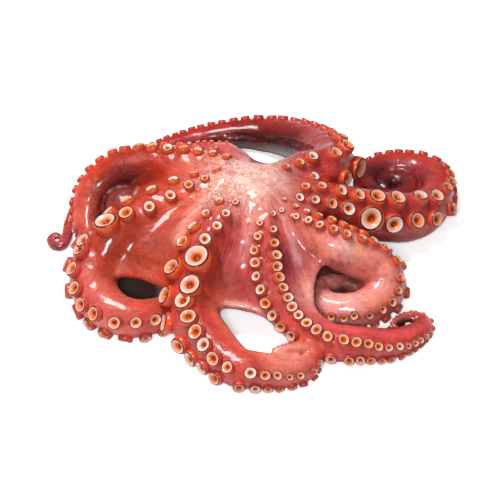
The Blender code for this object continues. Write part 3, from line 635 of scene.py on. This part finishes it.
# Ridges and creases: the places they run through, width, height, colour and strength.
RIDGES = [
    # Raised ridges along the left web and down the two webs between the front arms, pale partly in
    # their flesh and partly as a painted highlight
    ([(-26, 1, 72), (-42, -22, 65), (-53, -41, 59), (-58, -52, 54)], 5, 1.2,
     pigment(255, 176, 156), 0.75),
    ([(1, -37, 69), (-5, -46, 63), (-8, -59, 55), (-10, -69, 48)], 4, 1.0,
     pigment(246, 172, 160), 0.5),
    ([(16, -27, 72), (20, -39, 67), (25, -52, 56), (31, -67, 45)], 3, 0.8,
     pigment(248, 180, 172), 0.6),
    # The free edge of the web between the front left and front middle arms
    ([(-22, -94, 28), (-8, -96, 28), (0, -99, 27), (8, -105, 24), (16, -116, 20)], 2.5, 0.8,
     pigment(255, 190, 176), 0.8),
    # Furrows in the same two webs, beside the arms, darkened with painted shade
    ([(-31, -56, 66), (-27, -70, 52), (-23, -84, 38)], 2.6, -0.8, pigment(120, 34, 36), 0.55),
    ([(-19, -48, 67), (-15, -64, 56), (-12, -80, 43)], 2.2, -0.6, pigment(140, 44, 46), 0.4),
    ([(12, -50, 66), (18, -64, 55), (25, -74, 44), (34, -88, 33)], 2.6, -0.6,
     pigment(150, 50, 60), 0.5),
    # A pale wrinkle on the dome, and the deep groove between the dome and the arm round it, dark
    # with painted shade
    ([(-108, 8, 38), (-103, 13, 41), (-98, 14, 44), (-93, 20, 46)], 1.8, 0.6,
     pigment(244, 200, 190), 0.6),
    ([(-122, 10, 25), (-122, 19, 29), (-120, 25, 35), (-111, 32, 43), (-100, 33, 46)], 3, -1.5,
     DARK, 0.9),
    # A rosy line over the front right coil, and the groove along the back arm's inner side, dark
    # with painted shade
    ([(38, -62, 45), (53, -66, 45), (66, -68, 41)], 4, 0, pigment(206, 96, 104), 0.6),
    ([(-22, 136, 18), (4, 130, 19), (29, 104, 33), (44, 70, 50)], 3, -1.5, DARK, 0.7),
]
for places, width, height, colour, amount in RIDGES:
    share = np.exp(-(near_line(places) / width) ** 2)
    tints = paint(tints, colour, amount * share)
    relief = relief + height * share
# Painted shade in the creases across the inside of each bend.
tints = paint(tints, pigment(126, 44, 42), 0.6 * crease)
tints *= 1 + 0.10 * waves(points, 14, 5)[:, None]
points += normals * relief[:, None]
points[:, 2] = np.maximum(points[:, 2], FLOOR_GAP)
roots += stems * ((LIFT - SUNK * rosy) * sizes)[:, None]

skin_mesh = bpy.data.meshes.new("skin")
skin_mesh.from_pydata(points * MM, [], quads.tolist())
skin_mesh.shade_smooth()


def add_layer(mesh, name, values):
    """Keeps a number, a vector or a colour for each point of a mesh, for its material to read."""
    width = values.size // len(values)
    kind, field = {1: ("FLOAT", "value"), 3: ("FLOAT_VECTOR", "vector"),
                   4: ("FLOAT_COLOR", "color")}[width]
    mesh.attributes.new(name, kind, "POINT").data.foreach_set(field, values.ravel())


# The layers: the colour; for the streaks, a place that changes fast round the mouth and slowly away
# from it; how streaked a point is, how near the crown, and whether on the back of a dark arm.
radius = np.hypot(points[:, 0], points[:, 1] + 3)
bearing = np.arctan2(points[:, 1] + 3, points[:, 0])
from_crown = np.hypot(points[:, 0] + 14, points[:, 1] + 4)
add_layer(skin_mesh, "tint", np.column_stack([np.clip(tints, 0, 1), np.ones(len(tints))]))
add_layer(skin_mesh, "flow",
          np.column_stack([26 * np.cos(bearing), 26 * np.sin(bearing), radius / 14]))
add_layer(skin_mesh, "streaked", fade(radius, 12, 30) * fade(-radius, -125, -60))
add_layer(skin_mesh, "crown", np.exp(-(from_crown / 34) ** 4))
add_layer(skin_mesh, "back", fade(-facing, 0.0, 0.6) * (back_tint[:, 0] < 0.4))
skin = add_object("skin", skin_mesh)


def start_material(name):
    """A new material and its shader. The node functions below then work in that material."""
    global nodes, links
    material = bpy.data.materials.new(name)
    material.use_nodes = True
    nodes, links = material.node_tree.nodes, material.node_tree.links
    return material, nodes["Principled BSDF"]


def set_inputs(node, values):
    """Sets inputs of a node, given as pairs of a name and a value."""
    for key, value in values:
        node.inputs[key].default_value = value


def add_node(kind, settings=(), values=(), wires=()):
    """A shader node with its settings, its inputs' values and the sockets wired to its inputs."""
    made = nodes.new(kind)
    for key, value in settings:
        setattr(made, key, value)
    set_inputs(made, values)
    for key, socket in wires:
        links.new(socket, made.inputs[key])
    return made


def layer(name, output="Fac"):
    """The socket of a layer of the mesh."""
    return add_node("ShaderNodeAttribute", (("attribute_name", name),)).outputs[output]


def noise(scale, detail, place=None):
    """Noise on a vector socket, or on the object's own metres; scale is in features per unit."""
    place = place or add_node("ShaderNodeTexCoord").outputs["Object"]
    return add_node("ShaderNodeTexNoise", values=(("Scale", scale), ("Detail", detail),
                                                  ("Roughness", 0.6)),
                    wires=(("Vector", place),)).outputs["Fac"]


def ramp(socket, stops):
    """A colour ramp over a socket; stops are position and grey value or colour."""
    made = add_node("ShaderNodeValToRGB", wires=(("Fac", socket),))
    elements = made.color_ramp.elements
    while len(elements) < len(stops):
        elements.new(1)
    for element, (position, colour) in zip(elements, stops):
        element.position = position
        element.color = (*np.broadcast_to(colour, 3), 1)
    return made.outputs["Color"]


def blend(kind, amount, first, second):
    """Mixes two colour sockets or colours by an amount, a socket or a number."""
    made = add_node("ShaderNodeMix", (("data_type", "RGBA"), ("blend_type", kind)))
    for socket, value in zip((made.inputs[0], made.inputs[6], made.inputs[7]),
                             (amount, first, second)):
        if isinstance(value, bpy.types.NodeSocket):
            links.new(value, socket)
        else:
            socket.default_value = value
    return made.outputs[2]


def bump(height, distance, strength, normal=None):
    """Relief in the shading alone, of a height in metres, over the relief of a normal socket."""
    wires = [("Height", height)]
    values = [("Distance", distance)]
    if isinstance(strength, bpy.types.NodeSocket):
        wires.append(("Strength", strength))
    else:
        values.append(("Strength", strength))
    if normal:
        wires.append(("Normal", normal))
    return add_node("ShaderNodeBump", values=values, wires=wires).outputs["Normal"]


skin_material, shader = start_material("wet skin")
# Mottling and drifts of hue all over, and dark specks on the backs of the far arms.
mottle = ramp(noise(240, 7), ((0.32, (0.80, 0.66, 0.66)), (0.5, 1.0), (0.70, (1.06, 1.20, 1.20))))
skin_colour = blend("MULTIPLY", 1.0, layer("tint", "Color"), mottle)
hue = ramp(noise(48, 3), ((0.36, (0.98, 1.0, 1.14)), (0.52, 1.0), (0.66, (1.0, 0.98, 0.78))))
skin_colour = blend("MULTIPLY", 1.0, skin_colour, hue)
specks = ramp(noise(950, 2), ((0.36, 0.35), (0.52, 1.0)))
skin_colour = blend("MULTIPLY", layer("back"), skin_colour, specks)
# Streaks that run out from the mouth over the webs, as colour and as furrows.
streaks = noise(1.0, 4, layer("flow", "Vector"))
streaked = layer("streaked")
streak_colour = ramp(streaks, ((0.36, (0.76, 0.66, 0.68)), (0.64, (1.12, 1.20, 1.20))))
skin_colour = blend("MULTIPLY", streaked, skin_colour, streak_colour)
# Orange freckles all over, and pale and blushing speckles on the crown.
freckles = ramp(noise(620, 2), ((0.56, 0.0), (0.72, 0.35)))
skin_colour = blend("MIX", freckles, skin_colour, (*pigment(196, 60, 34), 1))
crown = layer("crown")
for scale, detail, stops, speckle in (
        (460, 4, ((0.50, 0.0), (0.62, 0.85)), pigment(255, 236, 226)),
        (190, 3, ((0.56, 0.0), (0.64, 0.55)), pigment(240, 110, 80))):
    amount = blend("MULTIPLY", 1.0, ramp(noise(scale, detail), stops), crown)
    skin_colour = blend("MIX", amount, skin_colour, (*speckle, 1))
links.new(skin_colour, shader.inputs["Base Color"])
links.new(ramp(noise(260, 3), ((0.3, 0.08), (0.7, 0.22))), shader.inputs["Roughness"])
furrows = bump(streaks, 0.0018, streaked)
wet = bump(noise(420, 5), 0.0009, 0.6, furrows)
links.new(bump(noise(1500, 2), 0.0005, 0.35, wet), shader.inputs["Normal"])
set_inputs(shader, (("Specular IOR Level", 0.18), ("Subsurface Weight", 0.30),
                    ("Subsurface Radius", (1.0, 0.35, 0.2)), ("Subsurface Scale", 0.004),
                    ("Coat Weight", 0.35), ("Coat Roughness", 0.07)))
skin_mesh.materials.append(skin_material)
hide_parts("octopus")
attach(skin, "root")


# Suckers
# Each is a muscular cup on a short stem: an orange wall, a thin dark rim, a pale dish inside it
# and a deep amber hole in the middle. Rosy ones have a wall in the colour of the skin.
CUP = np.array([(0.50, -0.30), (0.55, -0.12), (0.555, 0.02), (0.548, 0.12), (0.530, 0.20),
                (0.500, 0.265), (0.468, 0.308), (0.430, 0.322), (0.392, 0.312), (0.345, 0.292),
                (0.295, 0.270), (0.242, 0.242), (0.190, 0.205), (0.145, 0.155), (0.105, 0.095),
                (0.02, 0.07)])  # radius and height from foot to hole, in shares of the diameter
CUP_GAP = 0.25  # least height over the floor
OVAL, TILT = 0.06, 0.05  # how far a cup is out of round, and its rim out of level
HUGE = 15  # diameter above which every cup has the same mix of a narrow and a wide dish


def add_suckers(name, pick, sides, rings):
    """Suckers of one size group, as one mesh: the cup's outline turned about each stem.

    A point is root + d (r(v) (X cos u + Y sin u) + h(v) Z), where Z is the stem, r and h the
    outline in shares of the diameter d, and v runs from the foot over the rim into the hole.
    """
    centre, stem, size = roots[pick], stems[pick], sizes[pick]
    v = np.linspace(0, 1, rings)
    step = np.linspace(0, 1, len(CUP))
    radius, height = (np.interp(v, step, column) for column in CUP.T)
    u = np.linspace(0, 2 * pi, sides, endpoint=False)
    side = np.cross(stem, (0.3, 0.5, 0.81))
    side /= np.linalg.norm(side, axis=1)[:, None]
    other = np.cross(stem, side)
    phase = chance.uniform(0, 2 * pi, (len(size), 1, 1))
    above_foot = fade(v, 0.1, 0.35)[None, :, None]
    oval = 1 + OVAL * np.cos(2 * u[None, None] + phase) * above_foot
    tilt = TILT * np.cos(u[None, None] + 2 * phase) * above_foot
    r = radius[None, :, None] * oval
    h = height[None, :, None] + tilt * r / 0.5
    place = (centre[:, None, None] + size[:, None, None, None]
             * (side[:, None, None] * (r * np.cos(u))[..., None]
                + other[:, None, None] * (r * np.sin(u))[..., None]
                + stem[:, None, None] * h[..., None]))
    place[..., 2] = np.maximum(place[..., 2], CUP_GAP)
    start = np.arange(rings - 1)[:, None] * sides
    along = np.arange(sides)[None]
    ahead = (along + 1) % sides
    band = np.stack([start + along, start + ahead, start + sides + ahead, start + sides + along], -1)
    faces = np.arange(len(size))[:, None, None] * (rings * sides) + band.reshape(-1, 4)[None]
    bottoms = [(np.arange(sides) + (rings - 1) * sides + k * rings * sides).tolist()
               for k in range(len(size))]
    mesh = bpy.data.meshes.new(name)
    mesh.from_pydata(place.reshape(-1, 3) * MM, [], faces.reshape(-1, 4).tolist() + bottoms)
    mesh.shade_smooth()
    dish = np.where(size > HUGE, 0.5, chance.uniform(0, 1, len(size)) ** 1.7)
    add_layer(mesh, "depth", np.broadcast_to(v[None, :, None], place.shape[:3]).reshape(-1))
    add_layer(mesh, "dish", np.repeat(dish, rings * sides))
    add_layer(mesh, "rosy", np.repeat(rosy[pick], rings * sides))
    cups = add_object(name, mesh)
    mesh.materials.append(sucker_material)
    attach(cups, "root")


sucker_material, shader = start_material("sucker")
# Colours from the foot, at 0, over the rim, at about 0.45, into the hole, at 1. A narrow dish goes
# over to orange soon, a wide one stays pale further in.
depth = layer("depth")
WALL = ((0.0, ROSE), (0.10, pigment(240, 86, 48)), (0.34, pigment(248, 100, 44)),
        (0.39, pigment(78, 0, 6)), (0.475, pigment(84, 2, 8)))
narrow = ramp(depth, (*WALL, (0.515, pigment(255, 206, 190)), (0.60, pigment(255, 184, 156)),
                      (0.66, pigment(255, 138, 70)), (0.80, pigment(244, 112, 30)),
                      (0.92, pigment(160, 56, 6))))
wide = ramp(depth, (*WALL, (0.515, pigment(255, 226, 220)), (0.72, pigment(255, 214, 202)),
                    (0.78, pigment(255, 158, 96)), (0.86, pigment(232, 104, 24)),
                    (0.96, pigment(140, 48, 4))))
cup_colour = blend("MIX", layer("dish"), narrow, wide)
on_wall = ramp(depth, ((0.34, 0.75), (0.39, 0.0)))
rosy_wall = blend("MULTIPLY", 1.0, on_wall, layer("rosy"))
cup_colour = blend("MIX", rosy_wall, cup_colour, (*pigment(216, 72, 72), 1))
mottle = ramp(noise(700, 3), ((0.3, 0.82), (0.7, 1.08)))
links.new(blend("MULTIPLY", 1.0, cup_colour, mottle), shader.inputs["Base Color"])
links.new(bump(noise(1100, 2), 0.0004, 0.2), shader.inputs["Normal"])
set_inputs(shader, (("Roughness", 0.25), ("Specular IOR Level", 0.25),
                    ("Subsurface Weight", 0.15), ("Subsurface Radius", (1.0, 0.4, 0.2)),
                    ("Subsurface Scale", 0.002), ("Coat Weight", 0.1), ("Coat Roughness", 0.06)))
add_suckers("large_suckers", sizes >= 9, 28, 31)
add_suckers("middle_suckers", (sizes >= 5) & (sizes < 9), 18, 16)
add_suckers("small_suckers", sizes < 5, 9, 11)


# Floor
# A plain white surface, bright enough that only the shadow beside the octopus shows on it. Under
# the lower left web, where little light reaches, a shadow is painted on it in a soft round spot:
# its colour darkens and its glow fades out there.
FLOOR_HALF = 3  # metres, from the middle to an edge
GLOW = 0.50
SPOT = (-0.097, -0.050, 0)
SPOT_DARK, SPOT_END = 0.018, 0.050  # metres from the spot to where it starts and stops fading
floor_mesh = bpy.data.meshes.new("floor")
floor_mesh.from_pydata([(-FLOOR_HALF, -FLOOR_HALF, 0), (FLOOR_HALF, -FLOOR_HALF, 0),
                        (FLOOR_HALF, FLOOR_HALF, 0), (-FLOOR_HALF, FLOOR_HALF, 0)],
                       [], [(0, 1, 2, 3)])
floor = add_object("floor", floor_mesh)
floor_material, shader = start_material("white floor")
place = add_node("ShaderNodeTexCoord").outputs["Object"]
from_spot = add_node("ShaderNodeVectorMath", (("operation", "DISTANCE"),),
                     ((1, SPOT),), ((0, place),)).outputs["Value"]
clear = add_node("ShaderNodeMapRange", (("interpolation_type", "SMOOTHSTEP"),),
                 (("From Min", SPOT_DARK), ("From Max", SPOT_END)),
                 (("Value", from_spot),)).outputs["Result"]
seen = add_node("ShaderNodeLightPath").outputs["Is Camera Ray"]
seen_clear = add_node("ShaderNodeMath", (("operation", "MULTIPLY"),), (),
                      ((0, seen), (1, clear))).outputs["Value"]
glow = add_node("ShaderNodeMath", (("operation", "MULTIPLY"),), ((1, GLOW),),
                ((0, seen_clear),)).outputs["Value"]
shader.inputs["Emission Color"].default_value = (1, 1, 1, 1)
links.new(glow, shader.inputs["Emission Strength"])
links.new(ramp(clear, ((0, (0.06, 0.035, 0.03)), (1, 0.9))), shader.inputs["Base Color"])
floor_mesh.materials.append(floor_material)


# Light
# An even white sky, one lamp above at the left, which gives the skin its long highlights, and a
# smaller one in front. For each lamp: name, place and size in metres, and power in watts.
LAMPS = [("key", (-0.3, 0.05, 1.0), 0.35, 15.5), ("front", (-0.1, -0.95, 0.8), 0.22, 9.0)]
world = bpy.data.worlds.new("studio")
bpy.context.scene.world = world
world.use_nodes = True
set_inputs(world.node_tree.nodes["Background"], (("Color", (1, 1, 1, 1)), ("Strength", 0.2)))
bpy.context.scene.view_settings.view_transform = "Standard"
for name, place, size, power in LAMPS:
    lamp = bpy.data.lights.new(name, "AREA")
    lamp.size = size
    lamp.energy = power
    light = add_object(name, lamp)
    light.location = place
    light.rotation_euler = (-Vector(place)).to_track_quat("-Z", "Y").to_euler()
